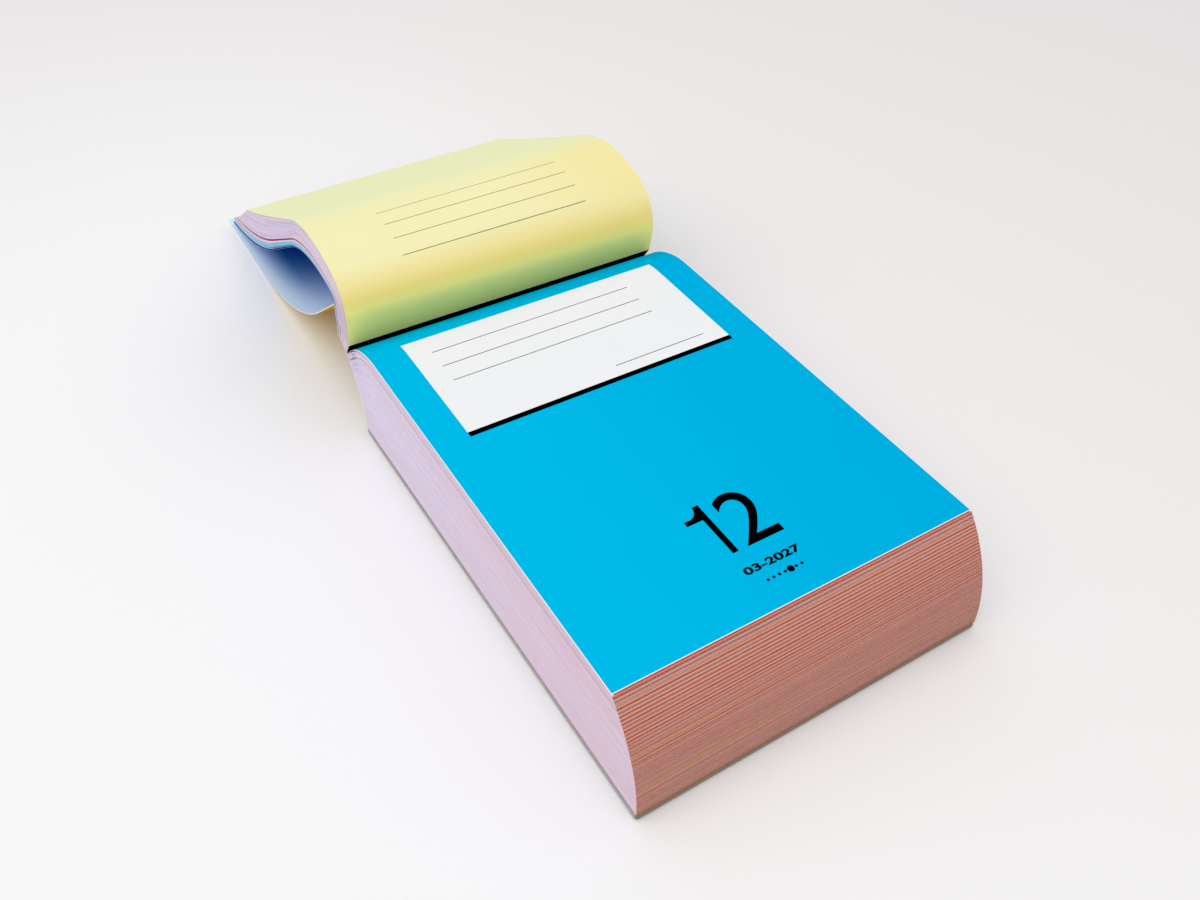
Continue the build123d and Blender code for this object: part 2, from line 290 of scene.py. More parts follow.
# Numbers on today's leaf, measured as its print is: where their feet stand, and their sizes
INK_THICK = 0.00003
MERGE_DISTANCE = 0.000003
DAY_HEIGHT = 0.0168
DAY_FOOT = 0.1243
ONE_LEFT = -0.0072
ONE_RIGHT = -0.0055
FLAG_LEFT = -0.0118
FLAG_FOOT = 0.0121
FLAG_TOP = 0.0136
FLAG_CURVE_LEFT = -0.0102
FLAG_CURVE_RIGHT = -0.0073
FLAG_CURVE_CUTS = 10
TWO_LEFT = -0.0027
TWO_RIGHT = 0.0082
TWO_WEIGHT = 0.001
MONTH_WORDS = "03-2027"
MONTH_HEIGHT = 0.0023
MONTH_FOOT = 0.1315
MONTH_LEFT = -0.0086
MONTH_RIGHT = 0.0078
MONTH_WEIGHT = 0.035
WEEK_DAYS = 7
WEEK_DAY = 5
WEEK_FOOT = 0.1347
WEEK_LEFT = -0.0050
WEEK_RIGHT = 0.0050
DOT_RADIUS = 0.00042
TODAY_DOT_RADIUS = 0.00095
DOT_SIDES = 24

# Light and view
CAMERA_PLACE = (-0.1271, -0.1671, 0.2214)
CAMERA_AZIMUTH = -33.44
CAMERA_ELEVATION = 42.81
CAMERA_ROLL = 2.17
CAMERA_LENS = 32.28
SENSOR_WIDTH = 36.0
FLOOR_SIZE = 6.0
FLOOR_DROP = 0.0001
SKY_STRENGTH = 0.70
LAMP_PLACE = (-0.9, -0.1, 1.7)
LAMP_SIZE = 2.2
LAMP_POWER = 15.5

RANDOM_SEED = 12
uneven = random.Random(RANDOM_SEED)


# Paths

def ahead(point, heading, distance):
    """The point at a distance from another, along a heading."""
    angle = radians(heading)
    return (point[0] + distance * cos(angle), point[1] + distance * sin(angle))


def step_end(point, heading, length, turn):
    """The point where one step of a path ends."""
    half = radians(turn / 2)
    chord = length * sin(half) / half if turn else length
    return ahead(point, heading + turn / 2, chord)


def cut_to_length(steps, length):
    """The steps of a path as far as a sheet of a length reaches."""
    kept = []
    for step_length, turn in steps:
        reach = min(step_length, length)
        if reach > 0:
            kept.append((reach, turn * reach / step_length))
        length -= reach
    return kept


def beside(path, distance):
    """The path that runs at a distance to the left of another."""
    point, heading, steps = path
    shifted = [(length - distance * radians(turn), turn) for length, turn in steps]
    return ahead(point, heading + 90, distance), heading, shifted


def longer(path, distance):
    """A path whose last step is longer by a distance."""
    point, heading, steps = path
    length, turn = steps[-1]
    return point, heading, [*steps[:-1], (length + distance, turn)]


def from_perforation(path):
    """A leaf's path with the ties of its perforation in front."""
    point, heading, steps = path
    return ahead(point, heading, -TIE_LENGTH), heading, [(TIE_LENGTH, 0), *steps]


def stations(path, cuts):
    """Points along a path, with each step cut into equal parts, and how far along each point is."""
    point, heading, steps = path
    places = [(0.0, point)]
    start = 0.0
    for (length, turn), count in zip(steps, cuts):
        for cut in range(1, count + 1):
            share = cut / count
            places.append((start + length * share, step_end(point, heading, length * share, turn * share)))
        point = places[-1][1]
        heading += turn
        start += length
    return places


def head_angle(level):
    """How far a leaf rises where it leaves the glued head."""
    return degrees(level * HEAD_PITCH / HEAD_RADIUS)


def head_point(level):
    """A point of the glued head with so many leaves below it."""
    angle = radians(head_angle(level))
    return (HEAD_Y + HEAD_RADIUS * (1 - cos(angle)), BOARD_THICK + HEAD_RADIUS * sin(angle))


def kept_heading(level):
    """The way a leaf still to come leaves the head."""
    return 180 - head_angle(level)


def kept_steps(level):
    """A leaf still to come, from its perforation to its foot."""
    droop = TOP_DROOP * level / TODAY_LEVEL
    return [(BEND_LENGTH, head_angle(level) + droop), (FLAT_LENGTH, 0)]


def whole_path(level):
    """A leaf still to come, from the head to its foot."""
    return head_point(level), kept_heading(level), [(STUB_LENGTH, 0), *kept_steps(level)]


def kept_path(level):
    """The tear-off part of a leaf still to come."""
    point = ahead(head_point(level), kept_heading(level), STUB_LENGTH)
    return point, kept_heading(level), kept_steps(level)


def turned_share(level):
    """How deep a turned leaf lies in the turned pile, from 0 on yesterday's leaf to 1 on the flyleaf."""
    return (level - YESTERDAY_LEVEL) / (FLYLEAF_LEVEL - YESTERDAY_LEVEL)


def turned_heading(level):
    """The way a turned leaf leaves the head."""
    return 180 - head_angle(level) - GUTTER_LEAN - STUB_FAN * turned_share(level)


def turned_start(level):
    """The perforation of a turned leaf."""
    return ahead(head_point(level), turned_heading(level), STUB_LENGTH)


def turned_place(level):
    """How far a turned leaf starts along and behind yesterday's leaf."""
    first = turned_start(YESTERDAY_LEVEL)
    point = turned_start(level)
    distance = hypot(point[0] - first[0], point[1] - first[1])
    bearing = degrees(atan2(point[1] - first[1], point[0] - first[0])) if distance else RISE_HEADING
    angle = radians(RISE_HEADING - bearing)
    return distance * cos(angle), distance * sin(angle)


def upper_share(level):
    """How high a turned leaf lies in the pile, from 0 on its lowest leaf to 1 on yesterday's."""
    return max(PILE_TOP - level, 0) / (PILE_TOP - YESTERDAY_LEVEL)


def turned_path(level, profile, arch):
    """The tear-off part of a turned leaf on one side of the pile."""
    along, behind = turned_place(level)
    last_along, last_behind = turned_place(FLYLEAF_LEVEL)
    stacked = last_behind - behind
    sweep_share = 1 - (1 - TOP_SWEEP) * upper_share(level)
    steps = [
        (profile.rise + last_along - along, 0),
        ((profile.crook_radius + stacked) * radians(profile.crook_turn), -profile.crook_turn),
        ((profile.arch_radius + stacked) * radians(arch), -arch),
        (FALL_LENGTH, 0),
        (LEAF_LENGTH, sweep_share * degrees(LEAF_LENGTH / (profile.sweep_radius + behind))),
    ]
    return turned_start(level), RISE_HEADING, cut_to_length(steps, LEAF_LENGTH - STUB_LENGTH)


def lowest(path):
    """The lowest height that a path comes down to after its start."""
    point, heading, steps = path
    heights = []
    for length, turn in steps:
        if heading < 0 < heading + turn:
            share = -heading / turn
            heights.append(step_end(point, heading, length * share, -heading)[1])
        point = step_end(point, heading, length, turn)
        heading += turn
        heights.append(point[1])
    return min(heights)


def arch_turn(level, profile, height):
    """The turn of the arch that lets a turned leaf down to a height above the table."""
    low, high = 0.0, STEEPEST_ARCH
    for _ in range(SEARCH_ROUNDS):
        middle = (low + high) / 2
        if lowest(turned_path(level, profile, middle)) > height:
            low = middle
        else:
            high = middle
    return middle


def settled_paths(level, height):
    """The left and right paths of a turned leaf that comes down to a height."""
    return [turned_path(level, profile, arch_turn(level, profile, height)) for profile in (LEFT, RIGHT)]


def pile_paths(level):
    """The left and right paths of a leaf of the pile, arched between its lowest leaf and yesterday's."""
    paths = []
    for profile in (LEFT, RIGHT):
        lowest_arch = arch_turn(PILE_TOP, profile, PILE_END)
        top_arch = arch_turn(YESTERDAY_LEVEL, profile, profile.top_end)
        paths.append(turned_path(level, profile, lowest_arch + (top_arch - lowest_arch) * upper_share(level)))
    return paths


def alike(path_of):
    """The left and right paths of leaves that lie the same all across."""
    return lambda level: [path_of(level)] * 2


def turned_skew(level):
    """How far a turned leaf lies askew."""
    return YESTERDAY_SKEW + (FLYLEAF_SKEW - YESTERDAY_SKEW) * turned_share(level)


def stub_path(level, heading):
    """The glued stub of a leaf, up to its perforation."""
    return head_point(level), heading, [(STUB_LENGTH - PERFORATION, 0)]


def kept_stub_path(level):
    """The glued stub of a leaf still to come."""
    return stub_path(level, kept_heading(level))


def turned_stub_path(level):
    """The glued stub of a turned leaf."""
    return stub_path(level, turned_heading(level))


def cover_paths():
    """The underside of the cover sheet from its crease, and of the strip that is glued in the head."""
    bend = ahead(turned_start(FLYLEAF_LEVEL), RISE_HEADING, CREASE_RISE)
    crease = ahead(bend, RISE_HEADING - 90, COVER_SPACE)
    strip_end = ahead(crease, 180, CREASE_GAP)
    foot = head_point(HEAD_TOP_LEVEL)
    reach = hypot(strip_end[0] - foot[0], strip_end[1] - foot[1])
    strip_heading = degrees(atan2(strip_end[1] - foot[1], strip_end[0] - foot[0]))
    slope = radians(COVER_SLOPE)
    sweep_radius = (crease[1] - COVER_FALL * sin(slope)) / (1 - cos(slope))
    steps = [(COVER_FALL, 0), (sweep_radius * slope, COVER_SLOPE), (COVER_LENGTH, 0)]
    sheet_path = crease, -COVER_SLOPE, cut_to_length(steps, COVER_LENGTH - reach)
    return sheet_path, (foot, strip_heading, [(reach, 0)])


# Shader nodes

# The sockets of a Mix node that take and give colours
MIX_FIRST = 6
MIX_SECOND = 7
MIX_RESULT = 2


def linear(red, green, blue):
    """An sRGB colour, each part out of 255, as the linear colour that a shader takes."""
    parts = [part / 255 for part in (red, green, blue)]
    return tuple(p / 12.92 if p <= 0.04045 else ((p + 0.055) / 1.055) ** 2.4 for p in parts) + (1.0,)


def add_node(tree, kind, feeds=None, **settings):
    """A node with its settings, each input fed by a socket or set to a value."""
    node = tree.nodes.new(kind)
    for name, value in settings.items():
        setattr(node, name, value)
    for key, value in (feeds or {}).items():
        if isinstance(value, bpy.types.NodeSocket):
            tree.links.new(value, node.inputs[key])
        else:
            node.inputs[key].default_value = value
    return node


def calculate(tree, operation, *values):
    """The result of one sum on sockets or numbers."""
    return add_node(tree, "ShaderNodeMath", dict(enumerate(values)), operation=operation).outputs[0]


def product(tree, first, *others):
    """Sockets or numbers multiplied with each other."""
    for other in others:
        first = calculate(tree, "MULTIPLY", first, other)
    return first


def mixed(tree, share, first, second, blend_type="MIX"):
    """One colour that goes over into another by a share."""
    feeds = {"Factor": share, MIX_FIRST: first, MIX_SECOND: second}
    node = add_node(tree, "ShaderNodeMix", feeds, data_type="RGBA", blend_type=blend_type)
    return node.outputs[MIX_RESULT]


def between(tree, value, low, high):
    """1 where a value is between two others, and 0 elsewhere."""
    above = calculate(tree, "GREATER_THAN", value, low)
    return product(tree, above, calculate(tree, "LESS_THAN", value, high))


def oblong(tree, x, along, left, right, top, foot):
    """1 on an oblong of a sheet, and 0 elsewhere."""
    return product(tree, between(tree, x, left, right), between(tree, along, top, foot))


def rescaled(tree, value, fade):
    """A value that goes smoothly through a fade as its source does."""
    feeds = dict(zip(("Value", "From Min", "From Max", "To Min", "To Max"), (value, *fade)))
    node = add_node(tree, "ShaderNodeMapRange", feeds, interpolation_type="SMOOTHSTEP")
    return node.outputs["Result"]


def noise(tree, place, kind):
    """Noise of a kind, from 0 to 1, over a place."""
    feeds = {"Vector": place, "Scale": kind.scale, "Detail": kind.detail, "Roughness": kind.roughness}
    return add_node(tree, "ShaderNodeTexNoise", feeds).outputs["Fac"]


def colour_ramp(tree, value, stops):
    """A colour that runs through stops, each a place from 0 to 1 and a colour."""
    node = add_node(tree, "ShaderNodeValToRGB", {"Fac": value})
    elements = node.color_ramp.elements
    for place, _ in stops[2:]:
        elements.new(place)
    for element, (place, colour) in zip(elements, stops):
        element.position = place
        element.color = colour
    return node.outputs["Color"]


PURE_WHITE = (1.0, 1.0, 1.0, 1.0)
CLOUD_GREY = (0.80, 0.80, 0.82, 1.0)
BLUE = linear(0, 192, 238)
DEEP_BLUE = linear(0, 178, 230)
GUTTER_SHADE_BLUE = linear(0, 150, 200)
PANEL_WHITE = linear(245, 246, 248)
INK = linear(2, 2, 4)
GREY_INK = linear(120, 122, 126)
TRIM_WHITE = linear(240, 244, 248)
YELLOW = linear(250, 244, 190)
YELLOW_TONE_AND_SHADE = linear(253, 228, 124)
GUTTER_YELLOW = linear(255, 248, 148)
FAR_YELLOW = linear(241, 245, 197)
OLIVE_INK = linear(140, 136, 96)
LILAC = linear(230, 223, 252)
ROSE_LILAC = linear(228, 208, 232)
ROSE = linear(232, 196, 216)
STREAK_LIGHT = linear(246, 236, 248)
STREAK_DARK_AND_GAP_SHADE = linear(196, 166, 200)
GAP_SHADE_DARK = linear(112, 84, 120)
LINE_BLUE = linear(120, 172, 212)
MAGENTA_GAP_SHADE = linear(150, 22, 100)
LAST_PINK = linear(248, 224, 236)
LAST_BLUE = linear(128, 212, 252)
FACE_PALE = linear(232, 222, 226)
FACE_SALMON = linear(236, 196, 180)
SALMON = linear(228, 112, 82)
RED = linear(188, 72, 58)
EDGE_RED = linear(200, 84, 76)
FOOT_PALE_AND_LIT = linear(230, 158, 132)
FOOT_MIDDLE = linear(196, 112, 90)
FOOT_DARK_AND_SHADED = linear(148, 56, 44)
FOOT_GREY = linear(206, 164, 162)
FOOT_MAUVE = linear(176, 108, 120)
FOOT_TAN = linear(188, 136, 96)
BOARD_SHADE = linear(70, 58, 72)
BOARD_BROWN = linear(140, 116, 92)
BOARD_DARK = linear(140, 135, 134)
BOARD_LIGHT = linear(200, 196, 194)
GLUE_DARK = linear(226, 222, 208)
GLUE_LIGHT = linear(244, 242, 234)
COVER_PALE = linear(224, 243, 255)
COVER_SHADE_BLUE = linear(0, 122, 190)
FLOOR_COOL = linear(251, 251, 252)
FLOOR_WARM_SHADE = linear(243, 240, 237)
FLOOR_FAR_SHADE = linear(240, 237, 237)

# Colours of the foot, each with its place: from the board up, within a line of partly painted light and
# shade, and down through the top bands
FOOT_STOPS = [
    (0.0, linear(170, 104, 86)),
    (0.21, linear(180, 110, 92)),
    (0.225, linear(220, 156, 136)),
    (0.24, linear(184, 120, 98)),
    (0.30, linear(186, 122, 100)),
    (0.40, linear(178, 108, 100)),
    (0.53, linear(190, 108, 80)),
    (0.62, linear(188, 116, 94)),
    (1.0, linear(200, 114, 92)),
]
LINE_TONE_AND_SHADE_STOPS = [
    (0.0, FOOT_MIDDLE),
    (0.15, FOOT_PALE_AND_LIT),
    (0.42, FOOT_PALE_AND_LIT),
    (0.55, FOOT_DARK_AND_SHADED),
    (0.8, FOOT_DARK_AND_SHADED),
    (1.0, FOOT_MIDDLE),
]
BAND_STOPS = [
    (0.0, SALMON),
    (0.24, SALMON),
    (0.28, FOOT_DARK_AND_SHADED),
    (0.46, FOOT_DARK_AND_SHADED),
    (0.50, FOOT_GREY),
    (0.76, FOOT_GREY),
    (0.80, FOOT_DARK_AND_SHADED),
    (1.0, FOOT_DARK_AND_SHADED),
]

# Coloured lines along the lowest leaves of the turned pile, from the lowest up; the magenta one is painted
# shadow in a gap above the paler leaves
LAST_LINES = ((LAST_BLUE, BLUE_LAST_LEAVES), (LAST_PINK, PINK_LEAVES), (MAGENTA_GAP_SHADE, MAGENTA_SHADE_LEAVES))


def paper_group():
    """Paper: a fine felt of fibres for its relief, and faint clouds for its tint."""
    tree = bpy.data.node_groups.new("paper_fibres", "ShaderNodeTree")
    tree.interface.new_socket("Place", in_out="INPUT", socket_type="NodeSocketVector")
    tree.interface.new_socket("Clouding", in_out="INPUT", socket_type="NodeSocketFloat")
    tree.interface.new_socket("Relief", in_out="OUTPUT", socket_type="NodeSocketFloat")
    tree.interface.new_socket("Tint", in_out="OUTPUT", socket_type="NodeSocketColor")
    inside = tree.nodes.new("NodeGroupInput").outputs
    share = product(tree, noise(tree, inside["Place"], CLOUDS), inside["Clouding"])
    relief = noise(tree, inside["Place"], FIBRES)
    add_node(tree, "NodeGroupOutput", {"Relief": relief, "Tint": mixed(tree, share, PURE_WHITE, CLOUD_GREY)})
    return tree


PAPER_FIBRES = paper_group()


class Finish:
    """A material being made: its shader, the place that its patterns lie on, and its colour so far."""

    def __init__(self, name, kind, shade):
        self.kind = kind
        self.shade = shade
        self.material = bpy.data.materials.new(name)
        self.material.use_nodes = True
        self.tree = self.material.node_tree
        self.shader = self.tree.nodes["Principled BSDF"]
        self.shader.inputs["Roughness"].default_value = kind.roughness
        self.shader.inputs["Specular IOR Level"].default_value = kind.shine
        self.place = add_node(self.tree, "ShaderNodeTexCoord").outputs["Object"]

    def attribute(self, name):
        """A number that each point of the piece carries."""
        return add_node(self.tree, "ShaderNodeAttribute", attribute_name=name).outputs["Fac"]

    def across_and_along(self):
        """Where a point lies on its sheet: across from the middle, and along from the perforation."""
        uv = add_node(self.tree, "ShaderNodeUVMap", uv_map="sheet").outputs["UV"]
        parts = add_node(self.tree, "ShaderNodeSeparateXYZ", {"Vector": uv})
        return parts.outputs["X"], parts.outputs["Y"]

    def place_parts(self):
        """The three parts of a point's place."""
        return add_node(self.tree, "ShaderNodeSeparateXYZ", {"Vector": self.place}).outputs

    def lay(self, share, colour):
        """Lay a share of a colour over the colour so far."""
        self.shade = mixed(self.tree, share, self.shade, colour)

    def rule(self, x, along, left, right, tops, thick, ink):
        """Rule lines of ink across the sheet."""
        for top in tops:
            self.lay(oblong(self.tree, x, along, left, right, top, top + thick), ink)

    def done(self, height, depth):
        """The material with its colour and a relief."""
        feeds = {"Height": height, "Strength": self.kind.relief, "Distance": depth}
        bump = add_node(self.tree, "ShaderNodeBump", feeds)
        self.tree.links.new(bump.outputs["Normal"], self.shader.inputs["Normal"])
        self.tree.links.new(self.shade, self.shader.inputs["Base Color"])
        return self.material

    def paper(self):
        """The material with its colour on paper."""
        feeds = {"Place": self.place, "Clouding": self.kind.clouding}
        fibres = add_node(self.tree, "ShaderNodeGroup", feeds, node_tree=PAPER_FIBRES).outputs
        self.shade = mixed(self.tree, 1.0, self.shade, fibres["Tint"], "MULTIPLY")
        return self.done(fibres["Relief"], FIBRE_DEPTH)


def today_print():
    """The front of today's leaf: blue, darker with painted shade near the gutter, with a white panel ruled
    for a note over a black stripe.
    """
    finish = Finish("today_print", TODAY_SHEET, BLUE)
    tree = finish.tree
    x, along = finish.across_and_along()
    tone = noise(tree, finish.place, TODAY_TONE)
    finish.lay(calculate(tree, "MULTIPLY_ADD", tone, TONE_SHARE, rescaled(tree, x, TODAY_SIDE)), DEEP_BLUE)
    # Painted shade: a darker blue near the gutter, where the turned pile shades the leaf
    finish.lay(rescaled(tree, along, TODAY_GUTTER_SHADE), GUTTER_SHADE_BLUE)
    panel = x, along, -PANEL_HALF_WIDTH, PANEL_HALF_WIDTH
    finish.rule(*panel, [PANEL_TOP], PANEL_FOOT - PANEL_TOP, PANEL_WHITE)
    finish.rule(*panel, [PANEL_FOOT], STRIPE, INK)
    tops = [RULE_TOP + row * RULE_PITCH for row in range(RULE_COUNT)]
    finish.rule(x, along, RULE_LEFT, RULE_RIGHT, tops, RULE_THICK, GREY_INK)
    finish.rule(x, along, SHORT_RULE_LEFT, SHORT_RULE_RIGHT, [SHORT_RULE_PLACE], RULE_THICK, GREY_INK)
    inner = between(tree, x, TRIM - HALF_WIDTH, HALF_WIDTH - TRIM)
    inner_foot = calculate(tree, "LESS_THAN", along, LEAF_LENGTH - STUB_LENGTH - TRIM)
    finish.lay(calculate(tree, "SUBTRACT", 1.0, product(tree, inner, inner_foot)), TRIM_WHITE)
    pitch = calculate(tree, "FRACT", calculate(tree, "DIVIDE", x, DASH_PITCH))
    finish.lay(oblong(tree, pitch, along, 0.0, DASH_SHARE, 0.0, DASH_LENGTH), TRIM_WHITE)
    return finish.paper()


def toned_sheet(name, colour, other):
    """A sheet printed all over in one colour, a little uneven."""
    finish = Finish(name, TONED_SHEET, colour)
    finish.lay(noise(finish.tree, finish.place, SHEET_TONE), other)
    return finish


def plain_print(name, colour, other):
    """The material of a sheet printed all over in one colour."""
    return toned_sheet(name, colour, other).paper()


def tomorrow_print():
    """The front of tomorrow's leaf: deep salmon, with a white margin down each side."""
    finish = toned_sheet("tomorrow_print", RED, EDGE_RED)
    x, _ = finish.across_and_along()
    printed = between(finish.tree, x, TOMORROW_MARGIN - HALF_WIDTH, HALF_WIDTH - TOMORROW_MARGIN)
    finish.lay(calculate(finish.tree, "SUBTRACT", 1.0, printed), TRIM_WHITE)
    return finish.paper()


def yesterday_print():
    """The back of yesterday's leaf: yellow, deeper with painted shade above the gutter and towards its +X
    side, pale at its far end, with note lines.
    """
    finish = Finish("yesterday_print", PRINTED_SHEET, YELLOW)
    tree = finish.tree
    x, along = finish.across_and_along()
    # Painted shade: a deeper yellow low above the gutter and towards the +X side, where the sheet is in shade
    yellow_shade = calculate(tree, "MAXIMUM", rescaled(tree, x, YELLOW_SIDE_SHADE), rescaled(tree, along, YELLOW_LOW_SHADE))
    finish.lay(yellow_shade, YELLOW_TONE_AND_SHADE)
    finish.lay(rescaled(tree, along, YELLOW_GUTTER), GUTTER_YELLOW)
    finish.lay(rescaled(tree, along, YELLOW_FAR), FAR_YELLOW)
    tops = [NOTE_TOP + row * NOTE_PITCH for row in range(NOTE_COUNT)]
    finish.rule(x, along, -NOTE_HALF_WIDTH, NOTE_HALF_WIDTH, tops, NOTE_THICK, OLIVE_INK)
    return finish.paper()


def cover_inside():
    """The inside of the cover: pale along its edges and its crease; further in, deep blue of painted shade
    and a painted reflection of the blue flyleaf.
    """
    finish = Finish("cover_inside", PRINTED_SHEET, COVER_PALE)
    tree = finish.tree
    x, along = finish.across_and_along()
    inward = calculate(tree, "SUBTRACT", HALF_WIDTH, calculate(tree, "ABSOLUTE", x))
    shade_from_side = rescaled(tree, inward, COVER_SHADE_SIDE)
    # Painted shade and a painted blue reflection of the flyleaf, deep in the loop under the turned pile
    share = product(tree, shade_from_side, rescaled(tree, along, COVER_SHADE_CREASE), rescaled(tree, along, COVER_SHADE_END))
    finish.lay(share, COVER_SHADE_BLUE)
    return finish.paper()


def leaf_noise(tree, leaf):
    """A number from 0 to 1 for each leaf of a pile."""
    whole = calculate(tree, "FLOOR", leaf)
    node = add_node(tree, "ShaderNodeTexWhiteNoise", {"W": whole}, noise_dimensions="1D")
    return node.outputs["Value"]


def streaks(tree, leaf, reach, kind):
    """Streaks of a kind along the leaves of a pile."""
    along = calculate(tree, "DIVIDE", reach, kind.length)
    across = calculate(tree, "DIVIDE", leaf, kind.leaves)
    place = add_node(tree, "ShaderNodeCombineXYZ", {"X": along, "Y": across})
    return noise(tree, place.outputs["Vector"], STREAK_NOISE)


def shade_at_board(finish, leaf, share):
    """Lay a share of shade over the leaves next to the board."""
    first = calculate(finish.tree, "LESS_THAN", leaf, BOARD_SHADE_LEAVES)
    finish.lay(product(finish.tree, first, share), BOARD_SHADE)


def side_edges():
    """The cut sides of the piles: lilac, with faint streaks, lines where leaves of one colour lie, and
    painted shade: dark lines in the gaps where leaves fan apart near the gutter and part on the turned pile,
    a magenta line in a gap low in the turned pile, and shade next to the board.
    """
    finish = Finish("side_edges", CUT_SIDE, ROSE_LILAC)
    tree = finish.tree
    leaf = finish.attribute("leaf")
    reach = finish.attribute("reach")
    finish.lay(rescaled(tree, finish.place_parts()["Y"], SIDE_HEAD), LILAC)
    fine = streaks(tree, leaf, reach, FINE_STREAKS)
    finish.lay(rescaled(tree, fine, LIGHT_STREAK), STREAK_LIGHT)
    finish.lay(rescaled(tree, fine, DARK_STREAK), STREAK_DARK_AND_GAP_SHADE)
    top = between(tree, leaf, TODAY_LEVEL - ROSE_LEAVES, TODAY_LEVEL)
    finish.lay(product(tree, top, ROSE_SHARE), ROSE)
    blue_level = TODAY_LEVEL - BLUE_LEAF_DEPTH
    blue = between(tree, leaf, blue_level, blue_level + BLUE_LEAVES)
    finish.lay(product(tree, blue, rescaled(tree, reach, BLUE_FOOT)), LINE_BLUE)
    # Painted shade: dark lines in the gaps where the upper leaves fan apart near the gutter
    fan = rescaled(tree, streaks(tree, leaf, reach, FAN_STREAKS), FAN_LINE)
    fan_gap_shade = product(tree, fan, rescaled(tree, reach, FAN_GUTTER), rescaled(tree, leaf, FAN_TOP))
    finish.lay(fan_gap_shade, GAP_SHADE_DARK)
    # Painted shade: dark lines in the gaps where the turned leaves part, past their arch
    turned = calculate(tree, "GREATER_THAN", leaf, YESTERDAY_LEVEL)
    parted = rescaled(tree, streaks(tree, leaf, reach, PARTED_STREAKS), PARTED_GAP_SHADE)
    finish.lay(product(tree, turned, parted, rescaled(tree, reach, PAST_ARCH)), STREAK_DARK_AND_GAP_SHADE)
    past_crook = rescaled(tree, reach, PAST_CROOK)
    # The last of these lines is painted shadow in magenta, in a gap low in the turned pile
    lowest_leaf = PILE_TOP
    for tint, leaves in LAST_LINES:
        line = between(tree, leaf, lowest_leaf - leaves, lowest_leaf)
        finish.lay(product(tree, line, past_crook), tint)
        lowest_leaf -= leaves
    shade_at_board(finish, leaf, SIDE_SHADE)
    return finish.paper()


def foot_edges():
    """The cut feet of the piles: broad bands at the top, then salmon and red lines that fade downwards,
    partly the leaves' own colours and partly painted light and shade on loose clumps of leaves.
    """
    finish = Finish("foot_edges", CUT_FOOT, FOOT_MIDDLE)
    tree = finish.tree
    leaf = finish.attribute("leaf")
    x = finish.place_parts()["X"]
    share = calculate(tree, "DIVIDE", leaf, TODAY_LEVEL)
    finish.shade = colour_ramp(tree, share, FOOT_STOPS)
    wander = product(tree, streaks(tree, leaf, x, FOOT_WANDER), WANDER_SHARE)
    count = calculate(tree, "DIVIDE", leaf, LINE_LEAVES)
    phase = calculate(tree, "FRACT", calculate(tree, "ADD", count, wander))
    # Partly painted light and shade: lit and shaded lines on clumps of leaves, strongest near the top where
    # the leaves lie loose
    finish.lay(rescaled(tree, share, FOOT_LINES_UP), colour_ramp(tree, phase, LINE_TONE_AND_SHADE_STOPS))
    tints = streaks(tree, leaf, x, FOOT_TINTS)
    low_down = rescaled(tree, share, FOOT_TINTS_DOWN)
    for fade, tint in ((MAUVE_TINT, FOOT_MAUVE), (TAN_TINT, FOOT_TAN)):
        finish.lay(product(tree, low_down, rescaled(tree, tints, fade)), tint)
    depth = calculate(tree, "DIVIDE", calculate(tree, "SUBTRACT", MARCH_TOP, leaf), BAND_LEAVES)
    finish.lay(between(tree, depth, 0.0, 1.0), colour_ramp(tree, depth, BAND_STOPS))
    shade_at_board(finish, leaf, FOOT_SHADE)
    finish.lay(calculate(tree, "GREATER_THAN", leaf, TODAY_LEVEL), ROSE_LILAC)
    chance = leaf_noise(tree, leaf)
    light = calculate(tree, "GREATER_THAN", chance, LIGHT_LEAF_FROM)
    finish.lay(product(tree, light, LIGHT_LEAF_SHARE), FOOT_PALE_AND_LIT)
    dark = calculate(tree, "LESS_THAN", chance, DARK_LEAF_TO)
    finish.lay(product(tree, dark, DARK_LEAF_SHARE), FOOT_DARK_AND_SHADED)
    return finish.paper()


def leaf_faces():
    """The faces of leaves inside the piles, printed in pale tints."""
    finish = Finish("leaf_faces", INNER_LEAF, FACE_PALE)
    finish.lay(leaf_noise(finish.tree, finish.attribute("leaf")), FACE_SALMON)
    return finish.paper()


def cut_edge(name, colour):
    """A plain paper material, for the cut edge of a single sheet, and for the painted shade on the stubs."""
    return Finish(name, CUT_EDGE, colour).paper()


def red_edge():
    """The cut edge of a leaf that is red towards its foot, and in shade near the head."""
    finish = Finish("red_edge", CUT_EDGE, GAP_SHADE_DARK)
    _, along = finish.across_and_along()
    finish.lay(rescaled(finish.tree, along, RED_FOOT), EDGE_RED)
    return finish.paper()


def grey_board():
    """Grey board: flecks of fibre in every grey, and brown along its front."""
    finish = Finish("grey_board", RAW_BOARD, BOARD_DARK)
    finish.lay(noise(finish.tree, finish.place, FLECKS), BOARD_LIGHT)
    finish.lay(rescaled(finish.tree, finish.place_parts()["Y"], BOARD_FRONT), BOARD_BROWN)
    return finish.paper()


def padding_glue():
    """Padding glue: milky, brushed on along the head."""
    finish = Finish("padding_glue", DRY_GLUE, GLUE_DARK)
    brush = add_node(finish.tree, "ShaderNodeMapping", {"Vector": finish.place, "Scale": BRUSH_SCALE})
    marks = noise(finish.tree, brush.outputs["Vector"], BRUSH_MARKS)
    finish.lay(marks, GLUE_LIGHT)
    return finish.done(marks, BRUSH_DEPTH)


def black_ink():
    """Black printing ink."""
    return Finish("black_ink", DRY_INK, INK).paper()


